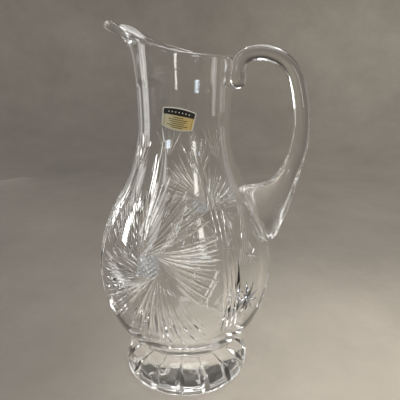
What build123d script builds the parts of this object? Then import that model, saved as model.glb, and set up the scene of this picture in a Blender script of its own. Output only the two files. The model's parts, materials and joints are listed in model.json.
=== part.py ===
from build123d import *
import os
from itertools import zip_longest
from math import cos, degrees, exp, hypot, pi, radians, sin, sqrt, tan

# Cut crystal pitcher in millimetres, +Z up, origin in the middle of the face the foot stands on.
# The handle is on the +X side, the pouring lip on the -X side, and the wheel-cut sides face -Y and +Y.

# Blown body, outside
foot_height = 20.0
seat_radius = 33.5
bowl_radius = 69.0
bowl_level = 92.0
neck_radius = 34.4
neck_level = 208.0
neck_flare_radius = 640.0

# Glass thickness
bowl_wall = 7.0
neck_wall = 5.2
base_wall = 10.0
well_radius = 24.0
well_rounding = 7.0

# Pouring lip: how far it reaches from the axis, how wide its beak is, and where it leaves the round neck
lip_start = 226.0
lip_reach = 60.5
lip_level = 272.3
lip_spread = 24.0
lip_thickness = 4.6

# Rim, seen from the side
handle_rim = 252.4
rim_crest = 276.8

# Foot: a slope from the waist to the brow, then one round side down to the standing edge
waist_radius = 33.0
slope_middle = (40.0, 18.3)
brow = (46.7, 15.0)
standing_radius = 52.2
foot_grooves = 16
foot_groove_angle = 110.0
foot_groove_line = [(33.8, 19.1), (45.9, 13.3), (51.0, -1.0)]

# Handle, a drawn rod with a folded tail at the neck and a large gather at the shoulder
rod_radius = 5.3
tail_knob_radius = 5.9
tail_stand = 0.3
tail_end = 236.0
tail_bend_width = 6.2
tail_bend_rise = 0.4
crest_radius = 27.7
crest_slope = 18.0
side_slope = 18.0
side_radius = 107.0

# Rings of the gather: x, z, how far the ring's axis points below the level, half height and half width
gather_rings = [
    (85.6, 193.0, 83.1, 5.8, 5.4),
    (83.5, 183.0, 73.7, 6.4, 5.8),
    (74.8, 159.1, 41.3, 11.6, 8.4),
    (69.3, 148.6, 25.5, 17.4, 9.8),
    (60.5, 139.2, 12.8, 23.8, 10.9),
    (44.0, 139.0, 12.8, 21.0, 10.0),
]

# Wheel-cut ornament: a pinwheel on each side, with tall leaves above it and upright borders and fans beside it
groove_angle = 105.0
pinwheel_azimuth = 95.0
pinwheel_level = 117.0
button_radius = 8.2
vanes = 5
vane_cuts = 8
vane_turn = 27.0
vane_spread = 8.1
root_spread = 5.5
cut_lead = 4.0
cut_reach_sideways = 56.0
cut_reach_down = 64.0
cut_reach_up = 44.0
shortest_share = 0.85
cut_depth = 1.3
edge_cut_depth = 1.6
leaf_cuts = [((-12.0, 31.0), (-5.0, 73.0)), ((-4.0, 38.0), (-1.0, 80.0)), ((3.0, 45.0), (1.0, 76.0))]
leaf_depth = 1.6
border_azimuth = 50.0
border_cuts = 4
border_spacing = 3.7
border_depth = 1.5
border_low = -56.0
border_high = 38.0
border_step = 3.0
fan_azimuth = 38.0
fan_level = 174.0
fan_cuts = 5
fan_spread = 15.0
fan_root = 3.0
fan_reach = 27.0
fan_depth = 0.9

# Foil label on the neck
label_azimuth = -79.0
label_level = 211.0
label_width = 24.5
label_height = 12.0
label_tilt = 10.5
label_thickness = 0.15
label_gap = 0.02


def shoulder_radius(bowl, neck):
    """Radius of the two equal arcs, one out and one in, that lead from the bowl to the neck."""
    width = bowl - neck
    drop = neck_level - bowl_level
    return (width**2 + drop**2) / (4 * width)


def under_radius(bowl, seat, level):
    """Radius of the arc from the bowl's widest level down to its seat."""
    width = bowl - seat
    rise = bowl_level - level
    return (width**2 + rise**2) / (2 * width)


def radius_at(z, bowl=bowl_radius, neck=neck_radius, seat=seat_radius, level=foot_height):
    """Radius of the round wall at a height. The outside is the default."""
    shoulder = shoulder_radius(bowl, neck)
    if z < bowl_level:
        under = under_radius(bowl, seat, level)
        return bowl - under + sqrt(under**2 - (z - bowl_level) ** 2)
    if z < (bowl_level + neck_level) / 2:
        return bowl - shoulder + sqrt(shoulder**2 - (z - bowl_level) ** 2)
    if z < neck_level:
        return neck + shoulder - sqrt(shoulder**2 - (z - neck_level) ** 2)
    return neck + neck_flare_radius - sqrt(neck_flare_radius**2 - (z - neck_level) ** 2)


def turned_wall(bowl, neck, seat, level, rounding=0.0):
    """Solid of revolution of a round wall from its seat up to where the lip starts."""

    def point(z):
        return (radius_at(z, bowl, neck, seat, level), z)

    levels = [level, bowl_level, (bowl_level + neck_level) / 2, neck_level, lip_start]
    arcs = [ThreePointArc(point(a), point((a + b) / 2), point(b)) for a, b in zip(levels, levels[1:])]
    floor = Line((0, level), point(level))
    axis = Line((0, lip_start), (0, level))
    face = make_face([floor, *arcs, Line(point(lip_start), (0, lip_start)), axis])
    if rounding:
        corner = face.vertices().sort_by_distance(Vector(seat, level))[0]
        face = fillet(corner, rounding)
    return revolve(Plane.XZ * face, Axis.Z)


def lip_section(z, reach, neck):
    """Closed outline of the neck at one height: round where the lip starts, drawn out to -X above."""
    back = radius_at(z, neck=neck)
    if z == lip_start:
        return Wire.make_circle(back, Plane.XY.offset(z))
    points = []
    for step in range(24):
        turn = radians(15 * step)
        from_lip = degrees(abs(pi - turn))
        bump = (reach - back) * exp(-((from_lip / lip_spread) ** 2))
        points.append(((back + bump) * cos(turn), (back + bump) * sin(turn), z))
    return Wire([Spline(*points, periodic=True)])


def lip_line():
    """Underside of the lip in the middle plane, as (height, reach) from the neck to above the rim."""
    bend = lip_level - 9.8
    neck_side = radius_at(bend) + 6.0
    return [
        (lip_start, radius_at(lip_start)),
        (lip_start + 14, radius_at(lip_start + 14) + 0.4),
        (lip_start + 25, radius_at(lip_start + 25) + 2.0),
        (bend - 5, neck_side - 2.4),
        (bend, neck_side + 0.7),
        (lip_level - 7.2, lip_reach - 11.6),
        (lip_level - 4.8, lip_reach - 6.6),
        (lip_level - 2.4, lip_reach - 2.6),
        (lip_level, lip_reach),
        (lip_level + 4, lip_reach + 2.0),
        (lip_level + 10, lip_reach + 3.2),
    ]


def drawn_neck(neck, rise=0.0, wall=0.0):
    """Upper neck with the lip. The inside has the same line, raised by the lip's thickness."""
    sections = []
    for z, reach in lip_line():
        level = z if z == lip_start else z + rise
        least = radius_at(level, neck=neck)
        sections.append(lip_section(level, max(reach - wall, least), neck))
    return Solid.make_loft(sections, ruled=True)


def rim_cutter():
    """Everything above the rim line, which is drawn in the middle plane from lip to handle."""
    back = neck_radius + 8
    points = [
        (-lip_reach - 8, lip_level - 6.0),
        (-lip_reach + 1, lip_level + 1.2),
        (-lip_reach + 7, rim_crest),
        (-lip_reach + 13, rim_crest - 0.8),
        (-lip_reach + 25, rim_crest - 8.0),
        (-22, handle_rim + 11.2),
        (-8, handle_rim + 6.8),
        (6, handle_rim + 3.0),
        (22, handle_rim + 0.9),
        (back, handle_rim),
    ]
    line = Spline(*points)
    top = rim_crest + 30
    edges = [line, Polyline((back, handle_rim), (back, top), (points[0][0], top), points[0])]
    return extrude(Plane.XZ * make_face(edges), amount=2 * bowl_radius, both=True)


def blank_outside():
    """The whole outside of the body, uncut and solid."""
    turned = turned_wall(bowl_radius, neck_radius, seat_radius, foot_height)
    return turned + drawn_neck(neck_radius)


def blank_inside():
    """The hollow of bowl, neck and lip."""
    bowl = bowl_radius - bowl_wall
    neck = neck_radius - neck_wall
    well = foot_height + base_wall
    turned = turned_wall(bowl, neck, well_radius, well, well_rounding)
    return turned + drawn_neck(neck, lip_thickness, lip_thickness / 4)


def chart_point(azimuth, level, across, up):
    """A point of the unrolled outside: across runs to the right as seen from outside."""
    z = level + up
    radius = radius_at(z)
    turn = radians(azimuth) + across / radius
    return Vector(radius * cos(turn), radius * sin(turn), z)


def chart_normal(azimuth, level, across, up):
    """Outward direction of the outside at a point of the unrolled side."""
    step = 0.01
    right = chart_point(azimuth, level, across + step, up) - chart_point(azimuth, level, across, up)
    above = chart_point(azimuth, level, across, up + step) - chart_point(azimuth, level, across, up)
    return right.cross(above).normalized()


def mitre(start, middle, end, outward, angle=groove_angle, height=5.0):
    """V-shaped wheel cut whose bottom follows the arc through three points."""
    arc = ThreePointArc(start, middle, end)
    centre = arc.arc_center
    first = Vector(*start) - centre
    last = Vector(*end) - centre
    spin = first.cross(last).normalized()
    radial = first.normalized()
    if radial.dot(outward) < 0:
        radial = radial * -1
    half = height * tan(radians(angle / 2))
    bottom = Vector(*start)
    profile = make_face(
        Polyline(bottom, bottom + radial * height + spin * half, bottom + radial * height - spin * half, close=True)
    )
    return revolve(profile, Axis(centre, spin), first.get_angle(last))


def chart_cut(azimuth, level, start, end, depth):
    """A wheel cut between two points of the unrolled side, deepest halfway."""
    half = ((start[0] + end[0]) / 2, (start[1] + end[1]) / 2)
    outward = chart_normal(azimuth, level, *half)
    middle = chart_point(azimuth, level, *half) - outward * depth
    return mitre(
        chart_point(azimuth, level, *start), middle, chart_point(azimuth, level, *end), outward
    )


def cut_reach(turn):
    """Longest cut that stays on the side in a direction, as the radius of an oval."""
    upright = cut_reach_up if sin(turn) > 0 else cut_reach_down
    return 1 / hypot(cos(turn) / cut_reach_sideways, sin(turn) / upright)


def pinwheel(azimuth):
    """Vanes of straight cuts that fan out from the edge of a round button and turn the same way round it."""
    cuts = []
    for number in range(vanes * vane_cuts):
        vane, place = divmod(number, vane_cuts)
        first = 360 * vane / vanes + vane_turn
        turn = radians(first + vane_spread * place)
        root = radians(first + 90 + root_spread * place)
        length = cut_reach(turn) * (shortest_share + (1 - shortest_share) * place / (vane_cuts - 1))
        edge = (button_radius * cos(root), button_radius * sin(root))
        start = (edge[0] - cut_lead * cos(turn), edge[1] - cut_lead * sin(turn))
        end = (edge[0] + length * cos(turn), edge[1] + length * sin(turn))
        depth = cut_depth if place else edge_cut_depth
        cuts.append(chart_cut(azimuth, pinwheel_level, start, end, depth))
    return cuts


def leaves(azimuth):
    """Tall cuts above the pinwheel that run up on to the neck."""
    return [chart_cut(azimuth, pinwheel_level, start, end, leaf_depth) for start, end in leaf_cuts]


def border(azimuth):
    """Upright cuts that part a side's ornament from the plain glass by the handle or the lip."""
    cuts = []
    for number in range(border_cuts):
        across = border_spacing * (number - (border_cuts - 1) / 2)
        top = border_high - border_step * number
        cuts.append(chart_cut(azimuth, pinwheel_level, (across, border_low), (across, top), border_depth))
    return cuts


def fan(azimuth):
    """Short cuts that spread upwards where the shoulder meets the neck."""
    cuts = []
    for number in range(fan_cuts):
        turn = radians(fan_spread * (number - (fan_cuts - 1) / 2))
        start = (fan_root * sin(turn), 0)
        end = (fan_reach * sin(turn), fan_reach * cos(turn))
        cuts.append(chart_cut(azimuth, fan_level, start, end, fan_depth))
    return cuts


def ornament():
    """All the wheel cuts of the body, the same on both sides, in groups that stay clear of each other."""
    swirls = []
    uprights = []
    tall = []
    for side in (-pinwheel_azimuth, pinwheel_azimuth):
        swirls.append(pinwheel(side))
        tall.append(leaves(side))
        uprights += [border(side + turn) for turn in (-border_azimuth, border_azimuth)]
        uprights += [fan(side + turn) for turn in (-fan_azimuth, fan_azimuth)]
    groups = [[cut for swirl in swirls for cut in swirl[place::vane_cuts]] for place in range(vane_cuts)]
    groups += [list(same) for same in zip_longest(*uprights)]
    groups += [list(same) for same in zip(*tall)]
    return [[cut for cut in cuts if cut] for cuts in groups]


def make_vessel(outside):
    """Body with its hollow, its rim line and its cut ornament."""
    vessel = outside - blank_inside() - rim_cutter()
    for cuts in ornament():
        vessel = vessel - cuts
    return vessel


def make_foot():
    """Thick domed foot with radial mitre grooves from the waist to the standing edge."""
    waist = (waist_radius, foot_height)
    edge = (standing_radius, 0)
    slope = ThreePointArc(waist, slope_middle, brow)
    side = TangentArc(brow, edge, tangent=slope % 1)
    outline = [slope, side, Polyline(edge, (0, 0), (0, foot_height), waist)]
    foot = revolve(Plane.XZ * make_face(outline), Axis.Z)
    line = [Vector(r, 0, z) for r, z in foot_groove_line]
    groove = mitre(*line, Vector(1, 0, 1), foot_groove_angle)
    grooves = [groove.rotate(Axis.Z, 360 * (n + 0.5) / foot_grooves) for n in range(foot_grooves)]
    return foot - grooves


def rod_path():
    """Middle line of the handle's rod from the tail at the neck over the crest and down the side."""
    tail_x = neck_radius + rod_radius + tail_stand
    bend_turn = radians(90 - crest_slope)
    crest_start = (tail_x + tail_bend_width, handle_rim + tail_bend_rise)
    bend_radius = tail_bend_width / (1 - cos(bend_turn))
    bend_start = (tail_x, crest_start[1] - bend_radius * sin(bend_turn))
    tail = Line((tail_x, tail_end), bend_start)
    bend = RadiusArc(bend_start, crest_start, bend_radius)
    slope = radians(crest_slope)
    side = radians(side_slope)
    hub = (crest_start[0] + crest_radius * sin(slope), crest_start[1] - crest_radius * cos(slope))
    crest_end = (hub[0] + crest_radius * cos(side), hub[1] + crest_radius * sin(side))
    crest = RadiusArc(crest_start, crest_end, crest_radius)
    outmost = (crest_end[0] + side_radius * (1 - cos(side)), crest_end[1] - side_radius * sin(side))
    flank = RadiusArc(crest_end, outmost, side_radius)
    return Wire([tail, bend, crest, flank])


def make_handle(outside):
    """Handle with its folded tail and its gather, seated on the body's outside."""
    path = Plane.XZ * rod_path()
    rod = sweep(Plane(path @ 0, z_dir=path % 0) * Circle(rod_radius), path=path)
    tail_knob = Pos(path @ 0) * Sphere(tail_knob_radius)
    rings = [(Plane(path @ 1, x_dir=(0, 1, 0), z_dir=path % 1) * Ellipse(rod_radius, rod_radius)).wire()]
    for x, z, dip, half_height, half_width in gather_rings:
        heading = (-cos(radians(dip)), 0, -sin(radians(dip)))
        plane = Plane((x, 0, z), x_dir=(0, 1, 0), z_dir=heading)
        rings.append((plane * Ellipse(half_width, half_height)).wire())
    gather = Solid.make_loft(rings)
    return rod + tail_knob + gather - outside


def make_label():
    """Thin foil patch bent round the neck, with its edge a little higher at the lip's side."""
    low = label_level - label_height
    high = label_level + label_height

    def sleeve(offset):
        def point(z):
            return (radius_at(z) + offset, z)

        lower = ThreePointArc(point(low), point((low + neck_level) / 2), point(neck_level))
        upper = ThreePointArc(point(neck_level), point((neck_level + high) / 2), point(high))
        corners = Polyline(point(high), (0, high), (0, low), point(low))
        return revolve(Plane.XZ * make_face([lower, upper, corners]), Axis.Z)

    turn = radians(label_azimuth)
    outward = Vector(cos(turn), sin(turn), 0)
    frame = Plane(Vector(0, 0, label_level), x_dir=(-sin(turn), cos(turn), 0), z_dir=outward)
    patch = Rot(0, 0, -label_tilt) * RectangleRounded(label_width, label_height, 0.8)
    prism = extrude(frame * patch, amount=neck_radius * 2)
    return (sleeve(label_gap + label_thickness) - sleeve(label_gap)) & prism


outside = blank_outside()
parts = {
    "vessel": make_vessel(outside),
    "foot": make_foot(),
    "handle": make_handle(outside),
    "foil_label": make_label(),
}

os.makedirs("parts", exist_ok=True)
for name, shape in parts.items():
    shape.label = name
    export_step(shape, f"parts/{name}.step")
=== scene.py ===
import json
import math

import bpy
import numpy as np
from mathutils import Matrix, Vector

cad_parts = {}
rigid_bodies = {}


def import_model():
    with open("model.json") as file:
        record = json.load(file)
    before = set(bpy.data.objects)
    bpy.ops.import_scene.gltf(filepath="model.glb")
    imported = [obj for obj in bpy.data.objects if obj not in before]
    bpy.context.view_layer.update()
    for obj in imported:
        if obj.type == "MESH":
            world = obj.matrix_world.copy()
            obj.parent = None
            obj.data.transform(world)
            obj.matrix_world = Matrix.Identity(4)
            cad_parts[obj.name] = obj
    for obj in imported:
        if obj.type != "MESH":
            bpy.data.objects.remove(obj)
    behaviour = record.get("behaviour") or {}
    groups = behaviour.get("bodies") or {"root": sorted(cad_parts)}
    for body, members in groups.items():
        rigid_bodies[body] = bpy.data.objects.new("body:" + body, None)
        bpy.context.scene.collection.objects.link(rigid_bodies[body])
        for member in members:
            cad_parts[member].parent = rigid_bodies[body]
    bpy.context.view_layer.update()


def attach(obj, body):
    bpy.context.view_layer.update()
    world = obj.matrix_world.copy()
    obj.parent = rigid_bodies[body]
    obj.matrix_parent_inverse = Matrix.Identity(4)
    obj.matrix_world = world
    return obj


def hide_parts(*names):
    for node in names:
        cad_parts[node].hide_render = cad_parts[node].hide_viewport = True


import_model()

# Cut crystal pitcher. Sizes are in millimetres and become metres when a mesh is made.
# +Z is up, the handle is on +X, the pouring lip on -X, the cut sides face -Y and +Y.
mm = 0.001
tiny = 1e-9  # a length below this counts as none


def unit(vectors):
    # each vector divided by its length
    return vectors / np.maximum(np.linalg.norm(vectors, axis=-1, keepdims=True), tiny)


def keepNormals(mesh, cornerNormals):
    # stores a normal for each face corner, so that the cutting carries it along
    layer = mesh.attributes.new("shapeNormal", "FLOAT_VECTOR", "CORNER")
    layer.data.foreach_set("vector", cornerNormals.ravel())


def useShapeNormals(piece):
    # shades the piece by the normals worked out with its shape
    mesh = piece.data
    stored = np.zeros(len(mesh.loops) * 3)
    mesh.attributes["shapeNormal"].data.foreach_get("vector", stored)
    mesh.normals_split_custom_set(unit(stored.reshape(-1, 3)).tolist())


def makePiece(name, points, faces, materials, normals=None):
    # a mesh object from whole arrays: faces is a list of index arrays, one array for each number of corners
    mesh = bpy.data.meshes.new(name)
    corners = np.concatenate([f.ravel() for f in faces])
    sizes = np.concatenate([np.full(len(f), f.shape[1]) for f in faces])
    starts = np.concatenate([[0], np.cumsum(sizes)[:-1]])
    mesh.vertices.add(len(points))
    mesh.vertices.foreach_set("co", (points * mm).ravel())
    mesh.loops.add(len(corners))
    mesh.loops.foreach_set("vertex_index", corners.astype(np.int32))
    mesh.polygons.add(len(sizes))
    mesh.polygons.foreach_set("loop_start", starts.astype(np.int32))
    mesh.polygons.foreach_set("use_smooth", np.full(len(sizes), True))
    mesh.update(calc_edges=True)
    if normals is not None:
        keepNormals(mesh, normals[corners])
    for material in materials:
        mesh.materials.append(material)
    piece = bpy.data.objects.new(name, mesh)
    bpy.context.scene.collection.objects.link(piece)
    return piece


def slopeAlong(values, axis, closed=False):
    # tangent of a curve through unevenly spaced points: each side's slope counts by the other side's length
    values = np.moveaxis(values, axis, 0)
    if closed:
        before = values - np.roll(values, 1, axis=0)
        after = np.roll(values, -1, axis=0) - values
    else:
        step = np.diff(values, axis=0)
        before = np.concatenate([step[:1], step])
        after = np.concatenate([step, step[-1:]])
    lengthBefore = np.maximum(np.linalg.norm(before, axis=-1, keepdims=True), tiny)
    lengthAfter = np.maximum(np.linalg.norm(after, axis=-1, keepdims=True), tiny)
    slope = before / lengthBefore * lengthAfter + after / lengthAfter * lengthBefore
    return np.moveaxis(slope / (lengthBefore + lengthAfter), 0, axis)


def smoothLine(x, knots, values):
    # smooth curve through points: cubic pieces whose slope at each point comes from its neighbours
    knots, values = np.asarray(knots, float), np.asarray(values, float)
    slopes = np.gradient(values, knots)
    cell = np.clip(np.searchsorted(knots, x, side="right") - 1, 0, len(knots) - 2)
    width = knots[cell + 1] - knots[cell]
    t = np.clip((x - knots[cell]) / width, 0, 1)
    return (values[cell] * (1 + 2 * t) * (1 - t) ** 2 + slopes[cell] * width * t * (1 - t) ** 2
            + values[cell + 1] * t ** 2 * (3 - 2 * t) + slopes[cell + 1] * width * t ** 2 * (t - 1))


def easeIn(share):
    # goes from 0 to 1 with no kink at either end
    share = np.clip(share, 0, 1)
    return share ** 2 * (3 - 2 * share)


def ringFaces(rows, columns):
    # four-cornered faces between neighbouring rows of points that go round by columns
    row, column = np.meshgrid(np.arange(rows - 1), np.arange(columns), indexing="ij")
    ahead = (column + 1) % columns
    return np.stack([row * columns + column, row * columns + ahead,
                     (row + 1) * columns + ahead, (row + 1) * columns + column], axis=-1).reshape(-1, 4)


def turnedShell(points):
    # closed shell from a (rows, columns, 3) grid that goes round by columns and shrinks to a point at both ends
    rows, columns, _ = points.shape
    normals = unit(np.cross(slopeAlong(points, 1, closed=True), slopeAlong(points, 0)))
    inner = points[1:-1].reshape(-1, 3)
    verts = np.concatenate([inner, [points[0].mean(axis=0), points[-1].mean(axis=0)]])
    endNormals = [normals[1].mean(axis=0), normals[-2].mean(axis=0)]
    vertNormals = unit(np.concatenate([normals[1:-1].reshape(-1, 3), endNormals]))
    column = np.arange(columns)
    ahead = (column + 1) % columns
    lastRow = (rows - 3) * columns
    bottom = np.stack([np.full(columns, len(inner)), ahead, column], axis=-1)
    top = np.stack([np.full(columns, len(inner) + 1), lastRow + column, lastRow + ahead], axis=-1)
    return verts, [ringFaces(rows - 2, columns), np.concatenate([bottom, top])], vertNormals


glassLook = {
    "ior": 1.545, "tint": (0.985, 0.99, 0.988, 1), "shadow": 0.1,
    # handling marks: size, detail, and the part of the noise that shows as marks
    "markScale": 120.0, "markDetail": 4.0, "markFrom": 0.5, "markTo": 0.8,
    # each glass: how fine its waves are, their height in metres, roughness in the marks and outside them
    "blown": (34.0, 0.00006, 0.018, 0.0),
    "cut": (220.0, 0.00001, 0.008, 0.0),
    "hatch": (220.0, 0.00001, 0.05, 0.02),
    "foot": (55.0, 0.00008, 0.018, 0.0),
    "handle": (40.0, 0.00012, 0.018, 0.0),
    # the hatched buttons are left unpolished and look frosted
    "hatchTint": (0.88, 0.93, 1.0, 1), "hatchClear": 0.8,
}


def blownSurface():
    # slow waves left by blowing and fine handling marks, as a height and a roughness
    group = bpy.data.node_groups.new("blownSurface", "ShaderNodeTree")
    for socketName, value in (("Wave Size", 30.0), ("Smear", 0.02), ("Least", 0.0)):
        socket = group.interface.new_socket(socketName, in_out="INPUT", socket_type="NodeSocketFloat")
        socket.default_value = value
    for socketName in ("Height", "Roughness"):
        group.interface.new_socket(socketName, in_out="OUTPUT", socket_type="NodeSocketFloat")
    nodes, link = group.nodes, group.links.new
    source, target = nodes.new("NodeGroupInput"), nodes.new("NodeGroupOutput")
    place = nodes.new("ShaderNodeTexCoord")
    wave = nodes.new("ShaderNodeTexNoise")
    wave.inputs["Detail"].default_value = 1.0
    marks = nodes.new("ShaderNodeTexNoise")
    marks.inputs["Scale"].default_value = glassLook["markScale"]
    marks.inputs["Detail"].default_value = glassLook["markDetail"]
    spread = nodes.new("ShaderNodeMapRange")
    spread.inputs["From Min"].default_value = glassLook["markFrom"]
    spread.inputs["From Max"].default_value = glassLook["markTo"]
    link(place.outputs["Object"], wave.inputs["Vector"])
    link(place.outputs["Object"], marks.inputs["Vector"])
    link(source.outputs["Wave Size"], wave.inputs["Scale"])
    link(marks.outputs["Fac"], spread.inputs["Value"])
    link(source.outputs["Least"], spread.inputs["To Min"])
    link(source.outputs["Smear"], spread.inputs["To Max"])
    link(wave.outputs["Fac"], target.inputs["Height"])
    link(spread.outputs["Result"], target.inputs["Roughness"])
    return group


blownSurfaceGroup = blownSurface()


def glassMaterial(name, finish, tint=glassLook["tint"], clear=1.0):
    material = bpy.data.materials.new(name)
    material.use_nodes = True
    nodes, link = material.node_tree.nodes, material.node_tree.links.new
    shader = nodes["Principled BSDF"]
    shader.inputs["Base Color"].default_value = tint
    shader.inputs["IOR"].default_value = glassLook["ior"]
    shader.inputs["Transmission Weight"].default_value = clear
    waveSize, waveHeight, smear, least = finish
    surface = nodes.new("ShaderNodeGroup")
    surface.node_tree = blownSurfaceGroup
    surface.inputs["Wave Size"].default_value = waveSize
    surface.inputs["Smear"].default_value = smear
    surface.inputs["Least"].default_value = least
    bump = nodes.new("ShaderNodeBump")
    bump.inputs["Distance"].default_value = waveHeight
    link(surface.outputs["Height"], bump.inputs["Height"])
    link(bump.outputs["Normal"], shader.inputs["Normal"])
    link(surface.outputs["Roughness"], shader.inputs["Roughness"])
    # lamps reach through the glass: only a part of each shadow ray is held back
    path = nodes.new("ShaderNodeLightPath")
    passing = nodes.new("ShaderNodeMath")
    passing.operation = "MULTIPLY_ADD"
    passing.inputs[1].default_value = glassLook["shadow"] - 1
    passing.inputs[2].default_value = 1.0
    link(path.outputs["Is Shadow Ray"], passing.inputs[0])
    link(passing.outputs[0], shader.inputs["Alpha"])
    return material


blownGlass = glassMaterial("blownCrystal", glassLook["blown"])
cutGlass = glassMaterial("cutCrystal", glassLook["cut"])
hatchGlass = glassMaterial("hatchCrystal", glassLook["hatch"], glassLook["hatchTint"], glassLook["hatchClear"])
pressedGlass = glassMaterial("footCrystal", glassLook["foot"])
drawnGlass = glassMaterial("handleCrystal", glassLook["handle"])
# the vessel and its cutters carry the same three glasses, in this order
crystals = [blownGlass, cutGlass, hatchGlass]
cutSlot, hatchSlot = 1, 2
print("glass:", len(bpy.data.materials), "materials")


vessel = {
    "footHeight": 20.0, "seatRadius": 33.5, "bowlRadius": 69.0, "bowlLevel": 92.0,
    "neckRadius": 34.4, "neckLevel": 208.0, "neckFlareRadius": 640.0,
    "bowlWall": 7.0, "neckWall": 5.2, "baseWall": 10.0, "wellRadius": 31.0, "wellRounding": 14.0,
    "seatRounding": 1.2, "lipThickness": 4.6, "rimRounding": 2.6,
    "lipStart": 226.0, "lipFadeIn": 6.0, "lipReach": 60.5, "lipLevel": 272.3, "lipSpread": 24.0,
    # underside of the lip in the middle plane, each point as height and reach: the throat from lipStart and the
    # round neck, the curl from lipBend and the neck there, the beak from lipLevel and lipReach
    "lipThroat": ((-8.0, 0.0), (0.0, 0.0), (14.0, 0.4), (25.0, 2.0)),
    "lipBend": 262.5, "lipCurl": ((-5.0, 3.6), (0.0, 6.7)),
    "lipBeak": ((-7.2, -11.6), (-4.8, -6.6), (-2.4, -2.6), (0.0, 0.0), (4.0, 2.0), (10.0, 3.2)),
    # the rim seen from the side as x and z, from the beak to the handle, and the heights that it lies between
    "rimLine": ((-68.5, 266.3), (-59.5, 273.5), (-53.5, 276.8), (-47.5, 276.0), (-35.5, 268.8), (-22.0, 263.6),
                (-8.0, 259.2), (6.0, 255.4), (22.0, 253.3), (42.4, 252.4)),
    "rimBetween": (236.0, 280.8), "rimTries": 40,
    "columns": 216, "floorRows": 6, "cornerRows": 8, "wallRows": 74, "neckRows": 26, "rimRows": 9,
}


def radiusAt(z, bowl=vessel["bowlRadius"], neck=vessel["neckRadius"],
             seat=vessel["seatRadius"], level=vessel["footHeight"]):
    # round wall: one arc under the bowl, two equal arcs over the shoulder, a slow flare up the neck
    z = np.asarray(z, float)
    bowlLevel, neckLevel, flare = vessel["bowlLevel"], vessel["neckLevel"], vessel["neckFlareRadius"]
    under = ((bowl - seat) ** 2 + (bowlLevel - level) ** 2) / (2 * (bowl - seat))
    shoulder = ((bowl - neck) ** 2 + (neckLevel - bowlLevel) ** 2) / (4 * (bowl - neck))
    lower = bowl - under + np.sqrt(np.maximum(under ** 2 - (z - bowlLevel) ** 2, 0))
    upper = bowl - shoulder + np.sqrt(np.maximum(shoulder ** 2 - (z - bowlLevel) ** 2, 0))
    waist = neck + shoulder - np.sqrt(np.maximum(shoulder ** 2 - (z - neckLevel) ** 2, 0))
    above = neck + flare - np.sqrt(np.maximum(flare ** 2 - (z - neckLevel) ** 2, 0))
    between = (bowlLevel + neckLevel) / 2
    return np.select([z < bowlLevel, z < between, z < neckLevel], [lower, upper, waist], above)


def lipReachAt(z):
    # how far the underside of the lip reaches from the axis in the middle plane
    throat, curl, beak = (np.array(vessel[part]) for part in ("lipThroat", "lipCurl", "lipBeak"))
    start, bend = vessel["lipStart"], vessel["lipBend"]
    knots = np.concatenate([start + throat[:, 0], bend + curl[:, 0], vessel["lipLevel"] + beak[:, 0]])
    values = np.concatenate([radiusAt(start + throat[:, 0]) + throat[:, 1], radiusAt(bend) + curl[:, 1],
                             vessel["lipReach"] + beak[:, 1]])
    return smoothLine(z, knots, values)


def neckRadiusAt(turn, z, neck, rise, wall):
    # round neck with a bell-shaped bump towards -X that fades within lipSpread degrees
    back = radiusAt(z, neck=neck)
    fromLip = np.degrees(np.abs(np.angle(np.exp(1j * (turn - math.pi)))))
    reach = np.maximum(lipReachAt(z - rise) - wall, back)
    started = np.clip((z - rise - vessel["lipStart"]) / vessel["lipFadeIn"], 0, 1)
    return back + started * (reach - back) * np.exp(-(fromLip / vessel["lipSpread"]) ** 2)


def rimEnd(turn, neck, rise, wall):
    # height at which each column of the wall meets the rim line, by halving the interval
    low, high = (np.full_like(turn, height) for height in vessel["rimBetween"])
    for _ in range(vessel["rimTries"]):
        middle = (low + high) / 2
        x = neckRadiusAt(turn, middle, neck, rise, wall) * np.cos(turn)
        under = middle < smoothLine(x, *np.transpose(vessel["rimLine"]))
        low, high = np.where(under, middle, low), np.where(under, high, middle)
    return low


def roundedFloor(radius, level, rounding, bowl):
    # flat round floor and an arc of the given radius that ends where the wall touches it
    bowlLevel = vessel["bowlLevel"]
    under = ((bowl - radius) ** 2 + (bowlLevel - level) ** 2) / (2 * (bowl - radius))
    centreZ = level + rounding
    centreR = bowl - under + math.sqrt((under - rounding) ** 2 - (bowlLevel - centreZ) ** 2)
    reach = math.atan2(centreZ - bowlLevel, centreR - (bowl - under))
    sweep = np.linspace(-math.pi / 2, reach, vessel["cornerRows"])
    arc = np.stack([centreR + rounding * np.cos(sweep), centreZ + rounding * np.sin(sweep)], axis=-1)
    across = np.linspace(0, centreR, vessel["floorRows"] + 1)[:-1]
    return np.concatenate([np.stack([across, np.full_like(across, level)], axis=-1), arc])


def wallSide(turn, bowl, neck, seat, level, rounding, rise, wall, back):
    # one side of the wall as (row, column) radius and height, from the floor's middle to just under the rim
    floorLine = roundedFloor(seat, level, rounding, bowl)
    levels = np.linspace(floorLine[-1, 1], vessel["lipStart"], vessel["wallRows"])[1:]
    radii = np.concatenate([floorLine[:, 0], radiusAt(levels, bowl, neck, seat, level)])
    heights = np.concatenate([floorLine[:, 1], levels])
    radii = np.repeat(radii[:, None], len(turn), axis=1)
    heights = np.repeat(heights[:, None], len(turn), axis=1)
    end = rimEnd(turn, neck, rise, wall)
    share = np.linspace(0, 1, vessel["neckRows"])[1:, None]
    neckHeights = vessel["lipStart"] + (end - back - vessel["lipStart"]) * share
    neckRadii = neckRadiusAt(turn, neckHeights, neck, rise, wall)
    edge = np.stack([neckRadiusAt(turn, end, neck, rise, wall), end], axis=-1)
    return np.concatenate([radii, neckRadii]), np.concatenate([heights, neckHeights]), edge


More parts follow.
